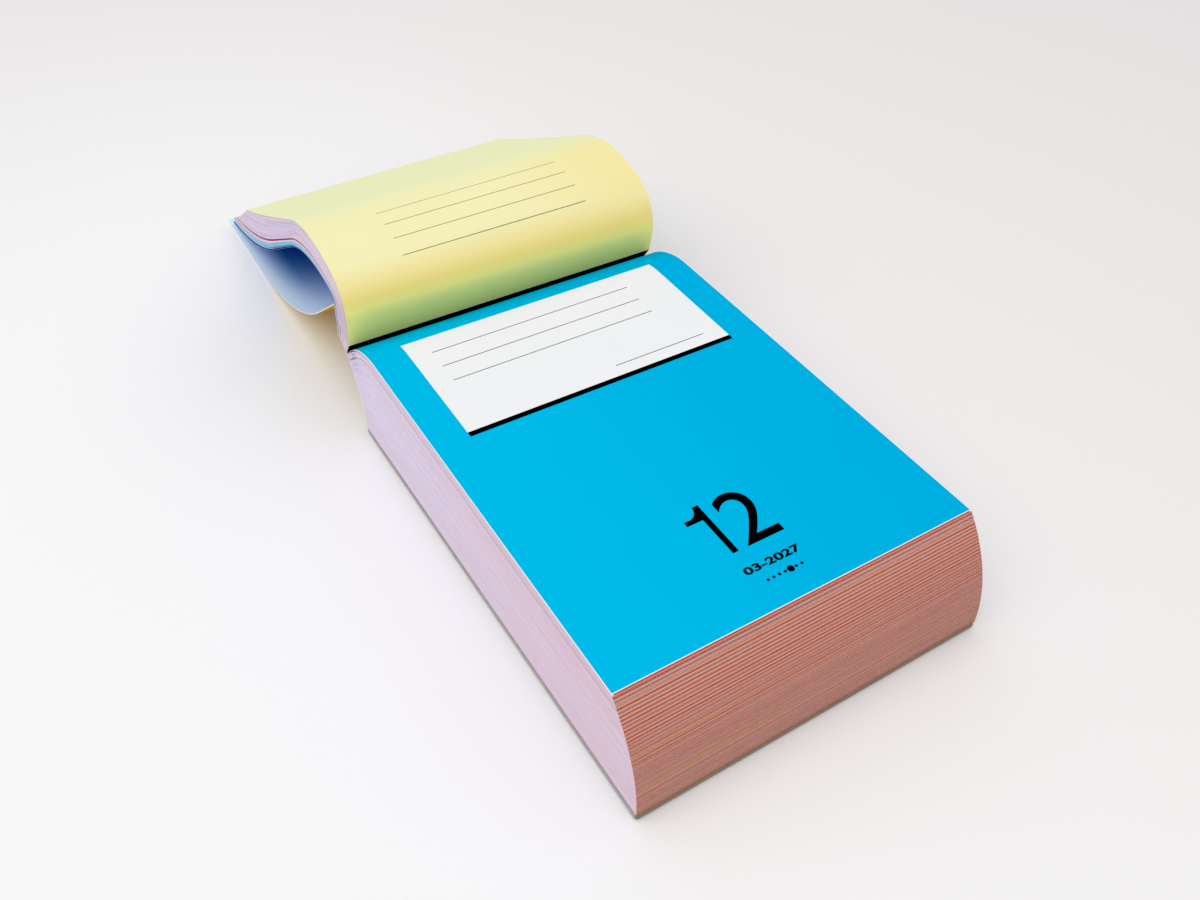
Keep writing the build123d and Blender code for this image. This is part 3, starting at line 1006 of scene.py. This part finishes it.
def floor_finish():
    """The pale table top, with painted shade: warmer and darker towards +X, and darker far from the middle.
    """
    finish = Finish("floor", TABLE_TOP, FLOOR_COOL)
    tree = finish.tree
    # Painted shade: warmer and darker towards +X, away from the lamp
    finish.lay(rescaled(tree, finish.place_parts()["X"], FLOOR_SHADE_SIDE), FLOOR_WARM_SHADE)
    # Painted shade: the table darker far from the middle
    distance = add_node(tree, "ShaderNodeVectorMath", {0: finish.place}, operation="LENGTH")
    finish.lay(rescaled(tree, distance.outputs["Value"], FLOOR_SHADE_DISTANCE), FLOOR_FAR_SHADE)
    tree.links.new(finish.shade, finish.shader.inputs["Base Color"])
    return finish.material


# Modelling

def select_only(piece):
    """Make one piece the only one that operators act on."""
    bpy.ops.object.select_all(action="DESELECT")
    piece.select_set(True)
    bpy.context.view_layer.objects.active = piece


@contextmanager
def editing(piece):
    """Edit the mesh of one piece."""
    select_only(piece)
    bpy.ops.object.mode_set(mode="EDIT")
    yield
    bpy.ops.object.mode_set(mode="OBJECT")


def fresh_piece(name):
    """The piece that an operator has just made, under a name of its own."""
    piece = bpy.context.object
    piece.name = name
    piece.data.name = name
    return piece


def new_grid(name, columns, rows):
    """A flat grid of faces to be shaped, with its points in rows."""
    bpy.ops.object.select_all(action="DESELECT")
    bpy.ops.mesh.primitive_grid_add(x_subdivisions=columns, y_subdivisions=rows)
    return fresh_piece(name)


def delete_faces(piece, unwanted):
    """Delete the faces whose numbers a test picks out."""
    with editing(piece):
        bpy.ops.mesh.select_all(action="DESELECT")
        bpy.ops.mesh.select_mode(type="FACE")
    for face in piece.data.polygons:
        face.select = unwanted(face.index)
    with editing(piece):
        bpy.ops.mesh.delete(type="FACE")


def extrude_all(piece, move):
    """Extrude all faces of a flat piece into a solid, with its faces outwards."""
    with editing(piece):
        bpy.ops.mesh.select_all(action="SELECT")
        bpy.ops.mesh.extrude_region_move(TRANSFORM_OT_translate={"value": move})
        bpy.ops.mesh.select_all(action="SELECT")
        bpy.ops.mesh.normals_make_consistent(inside=False)


def smooth(piece):
    """Shade the gentle bends of a piece smooth, and keep its edges sharp."""
    select_only(piece)
    bpy.ops.object.shade_smooth_by_angle(angle=radians(SMOOTH_ANGLE))


def give_finishes(piece, finishes):
    """Give a piece its materials in the order of its faces' numbers."""
    piece.data.materials.clear()
    for finish in finishes:
        piece.data.materials.append(finish)


def place_piece(piece, body, slot, *nodes):
    """Let a finished piece ride on its body in place of the solids that it stands for."""
    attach(piece, body)
    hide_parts(*nodes)


def ruled(left, right, x):
    """The point at a place across, on the straight line between a left and a right point."""
    share = (x + PROFILE_REACH) / (2 * PROFILE_REACH)
    return x, left[0] + (right[0] - left[0]) * share, left[1] + (right[1] - left[1]) * share


def askew(left, right, x, skew, start):
    """The point of a leaf that drifts sideways by an angle from where it starts."""
    drift = tan(radians(skew)) * (ruled(left, right, x)[1] - start)
    return ruled(left, right, x + drift)


def leaf_stack(name, levels, paths_of, cuts, skew_of=lambda level: 0.0):
    """Leaves on each other: drawn in section, two rows of points to a leaf, and extruded across."""
    rows = []
    for level in levels:
        extra = uneven.uniform(-FOOT_UNEVEN, 0.0)
        for face_level in (level, level + LEAF_FILL):
            left, right = [stations(longer(path, extra), cuts) for path in paths_of(face_level)]
            rows.append([(first[1], second[1]) for first, second in zip(left, right)])
    count = len(rows[0])
    pairs = [pair for row in rows for pair in row]
    piece = new_grid(name, count - 1, len(rows) - 1)
    for vertex, (left, _) in zip(piece.data.vertices, pairs):
        vertex.co = (-HALF_WIDTH, *left)
    add_numbers(piece, "pair", range(len(pairs)))
    add_numbers(piece, "leaf", [levels[index // count // 2] for index in range(len(pairs))])
    add_numbers(piece, "reach", [index % count / (count - 1) for index in range(len(pairs))])
    delete_faces(piece, lambda face: (face // (count - 1)) % 2 == 1)
    extrude_all(piece, (LEAF_WIDTH, 0, 0))
    sidestep = {level: uneven.uniform(-SIDE_UNEVEN, SIDE_UNEVEN) for level in levels}
    starts = {level: paths_of(level)[0][0][0] for level in levels}
    pair_numbers = piece.data.attributes["pair"].data
    for vertex in piece.data.vertices:
        index = round(pair_numbers[vertex.index].value)
        level = levels[index // count // 2]
        x = vertex.co.x + sidestep[level]
        vertex.co = askew(*pairs[index], x, skew_of(level), starts[level])
    give_finishes(piece, [LEAF_FACES, SIDE_EDGES, FOOT_EDGES])
    sort_leaf_faces(piece)
    smooth(piece)
    return piece


def add_numbers(piece, name, values):
    """Let each point of a piece carry a number."""
    piece.data.attributes.new(name, "FLOAT", "POINT").data.foreach_set("value", values)


def sort_leaf_faces(piece):
    """Number the faces of a pile by finish: faces of leaves, cut sides, and cut ends."""
    reach = piece.data.attributes["reach"].data
    for face in piece.data.polygons:
        if abs(face.normal.x) > MOSTLY:
            face.material_index = SECOND_FINISH
        elif all(reach[v].value == 1.0 for v in face.vertices):
            face.material_index = THIRD_FINISH


def sheet(name, paths, cuts, thick, finishes, face_side, skew=0.0, ties=False):
    """One sheet between a left and a right path on its front face, with ties left by its perforation."""
    if ties:
        paths = [from_perforation(path) for path in paths]
        cuts = (1, *cuts)
    sides = [stations(path, cuts) for path in paths]
    piece = new_grid(name, SHEET_COLUMNS, len(sides[0]) - 1)
    start = paths[0][0][0]
    before_leaf = TIE_LENGTH if ties else 0.0
    on_sheet = []
    for (reach, left), (_, right) in zip(*sides):
        for column in range(SHEET_COLUMNS + 1):
            x = face_side * (LEAF_WIDTH * column / SHEET_COLUMNS - HALF_WIDTH)
            piece.data.vertices[len(on_sheet)].co = askew(left, right, x, skew, start)
            on_sheet.append((x, reach - before_leaf))
    layer = piece.data.uv_layers[0]
    layer.name = "sheet"
    for loop in piece.data.loops:
        layer.data[loop.index].uv = on_sheet[loop.vertex_index]
    if ties:
        delete_faces(piece, lambda face: face < SHEET_COLUMNS and face % 2 == 1)
    give_finishes(piece, finishes)
    select_only(piece)
    bpy.ops.object.modifier_add(type="SOLIDIFY")
    solidify = piece.modifiers[-1]
    solidify.thickness = thick
    solidify.offset = -1.0
    solidify.material_offset = SECOND_FINISH
    solidify.material_offset_rim = THIRD_FINISH
    bpy.ops.object.modifier_apply(modifier=solidify.name)
    smooth(piece)
    return piece


def make_board():
    """The grey board: its corners rounded, its other edges a little worn."""
    low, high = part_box("back_board")
    bpy.ops.object.select_all(action="DESELECT")
    bpy.ops.mesh.primitive_cube_add(size=1.0)
    piece = fresh_piece("board")
    size = high - low
    middle = (high + low) / 2
    piece.data.transform(Matrix.Translation(middle) @ Matrix.Diagonal((*size, 1.0)))
    bevel_edges(piece, True, BOARD_CORNER, BOARD_CORNER_CUTS)
    bevel_edges(piece, False, BOARD_EDGE_WEAR, BOARD_EDGE_CUTS)
    give_finishes(piece, [GREY_BOARD])
    smooth(piece)
    return piece


def bevel_edges(piece, upright, width, cuts):
    """Round the sharp edges that stand upright, or those that lie flat."""
    with editing(piece):
        bpy.ops.mesh.select_mode(type="EDGE")
        bpy.ops.mesh.select_all(action="DESELECT")
        bpy.ops.mesh.edges_select_sharp(sharpness=radians(SHARP_ANGLE))
    for edge in piece.data.edges:
        first, second = (piece.data.vertices[v].co for v in edge.vertices)
        way = (second - first).normalized()
        edge.select = edge.select and (abs(way.z) > MOSTLY) == upright
    with editing(piece):
        bpy.ops.mesh.bevel(offset=width, segments=cuts, affect="EDGES")


def on_today(piece):
    """Lay a flat print on today's leaf: drawn across from the middle, and down from the perforation."""
    point, heading, steps = kept_path(TODAY_LEVEL)
    length, turn = steps[0]
    slope = heading + turn
    start = ahead(step_end(point, heading, length, turn), slope, -length)
    tilt = Matrix.Rotation(radians(slope - 180), 4, "X")
    piece.data.transform(Matrix.Translation((0.0, *start)) @ tilt)
    give_finishes(piece, [BLACK_INK])
    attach(piece, "today_leaf")


def close_print(piece):
    """Merge the doubles of a print's mesh and turn its faces outwards."""
    with editing(piece):
        bpy.ops.mesh.select_all(action="SELECT")
        bpy.ops.mesh.remove_doubles(threshold=MERGE_DISTANCE)
        bpy.ops.mesh.normals_make_consistent(inside=False)


def make_figures(name, words, left, right, height, foot, weight):
    """Plain figures that fill a given width and height."""
    bpy.ops.object.select_all(action="DESELECT")
    bpy.ops.object.text_add()
    text = bpy.context.object.data
    text.body = words
    text.offset = weight
    text.extrude = 1.0
    bpy.ops.object.convert(target="MESH")
    piece = fresh_piece(name)
    low = Vector([min(measures) for measures in zip(*piece.bound_box)])
    size = piece.dimensions
    scale = Matrix.Diagonal(((right - left) / size.x, height / size.y, INK_THICK / size.z, 1.0))
    lift = Vector((low.x, low.y, 0.0))
    piece.data.transform(Matrix.Translation((left, -foot, 0.0)) @ scale @ Matrix.Translation(-lift))
    close_print(piece)
    on_today(piece)


def one_outline():
    """The outline of the figure one, its flag drawn up to the top of the stem in a hollow curve."""
    stem = [(ONE_LEFT, 0.0), (ONE_RIGHT, 0.0), (ONE_RIGHT, DAY_HEIGHT)]
    curve = []
    for cut in range(FLAG_CURVE_CUTS + 1):
        angle = pi / 2 * cut / FLAG_CURVE_CUTS
        x = FLAG_CURVE_LEFT + (FLAG_CURVE_RIGHT - FLAG_CURVE_LEFT) * cos(angle)
        curve.append((x, DAY_HEIGHT - (DAY_HEIGHT - FLAG_TOP) * sin(angle)))
    flag = [(FLAG_LEFT, FLAG_TOP), (FLAG_LEFT, FLAG_FOOT), (ONE_LEFT, FLAG_FOOT)]
    return [*stem, *curve, *flag]


def make_one():
    """The figure one of the day."""
    outline = one_outline()
    bpy.ops.object.select_all(action="DESELECT")
    bpy.ops.mesh.primitive_circle_add(vertices=len(outline), fill_type="NGON")
    piece = fresh_piece("day_one")
    for vertex, (x, height) in zip(piece.data.vertices, outline):
        vertex.co = (x, height - DAY_FOOT, -INK_THICK / 2)
    extrude_all(piece, (0.0, 0.0, INK_THICK))
    on_today(piece)


def make_week():
    """A dot for each day of the week, today's the largest."""
    spacing = (WEEK_RIGHT - WEEK_LEFT) / (WEEK_DAYS - 1)
    dots = []
    for day in range(1, WEEK_DAYS + 1):
        radius = TODAY_DOT_RADIUS if day == WEEK_DAY else DOT_RADIUS
        bpy.ops.object.select_all(action="DESELECT")
        bpy.ops.mesh.primitive_circle_add(vertices=DOT_SIDES, radius=radius, fill_type="NGON")
        dot = bpy.context.object
        place = (WEEK_LEFT + (day - 1) * spacing, -WEEK_FOOT, -INK_THICK / 2)
        dot.data.transform(Matrix.Translation(place))
        extrude_all(dot, (0.0, 0.0, INK_THICK))
        dots.append(dot)
    select_only(dots[0])
    for dot in dots:
        dot.select_set(True)
    bpy.ops.object.join()
    on_today(fresh_piece("week_dots"))


def make_numbers():
    """The numbers printed on today's leaf."""
    make_one()
    make_figures("day_two", "2", TWO_LEFT, TWO_RIGHT, DAY_HEIGHT, DAY_FOOT, TWO_WEIGHT)
    month_sizes = MONTH_LEFT, MONTH_RIGHT, MONTH_HEIGHT, MONTH_FOOT, MONTH_WEIGHT
    make_figures("month_and_year", MONTH_WORDS, *month_sizes)
    make_week()


LEAF_FACES = leaf_faces()
SIDE_EDGES = side_edges()
FOOT_EDGES = foot_edges()
SHEET_EDGE = cut_edge("sheet_edge", linear(250, 250, 252))
RED_EDGE = red_edge()
BLUE_EDGE = cut_edge("blue_edge", linear(132, 214, 252))
# Near black: painted shade of the gutter, laid on the faces of the single leaves' stubs
STUB_SHADE_BLACK = cut_edge("stub_shade_black", linear(10, 10, 12))
GREY_BOARD = grey_board()
PADDING_GLUE = padding_glue()
BLACK_INK = black_ink()
TODAY_PRINT = today_print()
YESTERDAY_PRINT = yesterday_print()
# On the backs of the leaves the deeper yellow is only an uneven tone of the print
YELLOW_BACK = plain_print("yellow_back", YELLOW, YELLOW_TONE_AND_SHADE)
ROSE_FRONT = plain_print("rose_front", linear(226, 190, 216), linear(214, 176, 206))
TOMORROW_PRINT = tomorrow_print()
WHITE_PAPER = plain_print("white_paper", linear(234, 243, 252), linear(226, 238, 250))
FLYLEAF_BLUE = plain_print("flyleaf_blue", linear(10, 122, 220), linear(4, 112, 212))
COVER_INSIDE = cover_inside()
COVER_OUTSIDE = plain_print("cover_outside", linear(238, 192, 12), linear(228, 182, 8))
CARD_EDGE = plain_print("card_edge", linear(250, 248, 242), linear(240, 236, 226))


def make_months_to_come():
    """The months to come, one pile of whole leaves each."""
    level = 0
    for month, days in DAYS_TO_COME.items():
        levels = list(range(level, level + days))
        pile = leaf_stack(f"{month}_pile", levels, alike(whole_path), WHOLE_CUTS)
        place_piece(pile, "block", "leaf_paper", f"{month}_leaves")
        level += days


def make_stub(name, paths, face_side):
    """The stub that a single leaf leaves in the head, its faces near black: painted shade of the gutter."""
    stub = sheet(f"{name}_stub_strip", paths, STUB_CUTS, PAPER, [STUB_SHADE_BLACK, STUB_SHADE_BLACK, SHEET_EDGE], face_side)
    place_piece(stub, "block", "leaf_paper", f"{name}_stub")


def make_kept_leaf(name, level, body, front, edge, slot):
    """A single leaf still to come and its stub."""
    paths = alike(kept_path)(level)
    leaf = sheet(name, paths, KEPT_SHEET_CUTS, PAPER, [front, YELLOW_BACK, edge], RIGHT_FACE, ties=True)
    place_piece(leaf, body, slot, f"{name}_leaf")
    make_stub(name, alike(kept_stub_path)(level), RIGHT_FACE)


def make_march_to_come():
    """The rest of March, tomorrow's leaf and today's leaf, with their stubs."""
    levels = list(range(MARCH_BASE, MARCH_TOP))
    pile = leaf_stack("march_pile", levels, alike(kept_path), KEPT_CUTS)
    place_piece(pile, "march_leaves", "leaf_paper", "march_leaves")
    stubs = leaf_stack("march_stub_pile", levels, alike(kept_stub_path), STUB_CUTS)
    place_piece(stubs, "block", "leaf_paper", "march_stubs")
    make_kept_leaf("tomorrow", TOMORROW_LEVEL, "march_leaves", TOMORROW_PRINT, RED_EDGE, "salmon_print")
    make_kept_leaf("today", TODAY_LEVEL, "today_leaf", TODAY_PRINT, SHEET_EDGE, "blue_print")


def make_turned_leaf(name, level, paths, finishes, slot):
    """A single turned leaf and its stub."""
    front = [beside(path, -SHEET_INSET) for path in paths]
    thick = PAPER - 2 * SHEET_INSET
    leaf = sheet(name, front, TURNED_SHEET_CUTS, thick, finishes, LEFT_FACE, turned_skew(level), ties=True)
    place_piece(leaf, "turned_leaves", slot, f"{name}_leaf")
    make_stub(name, alike(turned_stub_path)(level), LEFT_FACE)


def make_turned_leaves():
    """Yesterday's leaf, the months gone by, the title leaf and the flyleaf."""
    yesterday = [YESTERDAY_PRINT, ROSE_FRONT, RED_EDGE]
    make_turned_leaf("yesterday", YESTERDAY_LEVEL, pile_paths(YESTERDAY_LEVEL), yesterday, "yellow_print")
    level = GONE_BY_BASE
    for month, days in DAYS_GONE_BY.items():
        levels = list(range(level, level + days))
        pile = leaf_stack(f"{month}_pile", levels, pile_paths, TURNED_CUTS, turned_skew)
        place_piece(pile, "turned_leaves", "leaf_paper", f"{month}_leaves")
        stubs = leaf_stack(f"{month}_stub_pile", levels, alike(turned_stub_path), STUB_CUTS)
        place_piece(stubs, "block", "leaf_paper", f"{month}_stubs")
        level += days
    title_paths = settled_paths(TITLE_LEVEL, TITLE_END)
    make_turned_leaf("title", TITLE_LEVEL, title_paths, [WHITE_PAPER, WHITE_PAPER, BLUE_EDGE], "white_paper")
    fly_paths = settled_paths(FLYLEAF_LEVEL, FLYLEAF_END)
    make_turned_leaf("fly", FLYLEAF_LEVEL, fly_paths, [FLYLEAF_BLUE, FLYLEAF_BLUE, BLUE_EDGE], "blue_paper")


def make_cover():
    """The cover sheet and its glued strip."""
    finishes = [COVER_INSIDE, COVER_OUTSIDE, CARD_EDGE]
    sheet_path, strip_path = [beside(path, COVER_THICK) for path in cover_paths()]
    cover = sheet("cover", [sheet_path] * 2, COVER_CUTS, COVER_THICK, finishes, LEFT_FACE, COVER_SKEW)
    place_piece(cover, "cover_sheet", "cover_card", "cover_sheet")
    strip = sheet("strip", [strip_path] * 2, STRIP_CUTS, COVER_THICK, finishes, LEFT_FACE)
    place_piece(strip, "block", "cover_card", "cover_strip")


def make_glue():
    """The film of glue along the head."""
    turn = head_angle(HEAD_TOP_LEVEL)
    outer = beside((head_point(0), 90.0, [(HEAD_RADIUS * radians(turn), -turn)]), -GLUE_THICK)
    film = sheet("glue_film", [outer] * 2, (GLUE_CUTS,), GLUE_THICK, [PADDING_GLUE] * 3, RIGHT_FACE)
    place_piece(film, "block", "padding_glue", "head_glue")


def make_stage():
    """The pale floor, the sky and the lamp."""
    bpy.ops.object.select_all(action="DESELECT")
    bpy.ops.mesh.primitive_plane_add(size=FLOOR_SIZE, location=(0, 0, -FLOOR_DROP))
    floor = bpy.context.object
    floor.name = "floor"
    give_finishes(floor, [floor_finish()])
    scene = bpy.context.scene
    scene.world = bpy.data.worlds.new("sky")
    scene.world.use_nodes = True
    sky = scene.world.node_tree.nodes["Background"]
    sky.inputs["Color"].default_value = PURE_WHITE
    sky.inputs["Strength"].default_value = SKY_STRENGTH
    lamp = bpy.data.lights.new("soft_box", "AREA")
    lamp.energy = LAMP_POWER
    lamp.size = LAMP_SIZE
    lamp_object = bpy.data.objects.new("soft_box", lamp)
    lamp_object.location = LAMP_PLACE
    lamp_object.rotation_euler = (-Vector(LAMP_PLACE)).to_track_quat("-Z", "Y").to_euler()
    scene.collection.objects.link(lamp_object)


def make_camera():
    """The camera where the photograph was taken."""
    camera = bpy.data.cameras.new("camera")
    camera.lens = CAMERA_LENS
    camera.sensor_width = SENSOR_WIDTH
    camera_object = bpy.data.objects.new("camera", camera)
    turn = Matrix.Rotation(radians(CAMERA_AZIMUTH), 4, "Z")
    tilt = Matrix.Rotation(radians(90 - CAMERA_ELEVATION), 4, "X")
    roll = Matrix.Rotation(radians(CAMERA_ROLL), 4, "Z")
    camera_object.matrix_world = Matrix.Translation(CAMERA_PLACE) @ turn @ tilt @ roll
    bpy.context.scene.collection.objects.link(camera_object)
    bpy.context.scene.camera = camera_object


board = make_board()
place_piece(board, "block", "grey_board", "back_board")
make_glue()
make_months_to_come()
make_march_to_come()
make_turned_leaves()
make_cover()
make_numbers()
make_stage()
make_camera()
bpy.context.scene.view_settings.view_transform = "Standard"
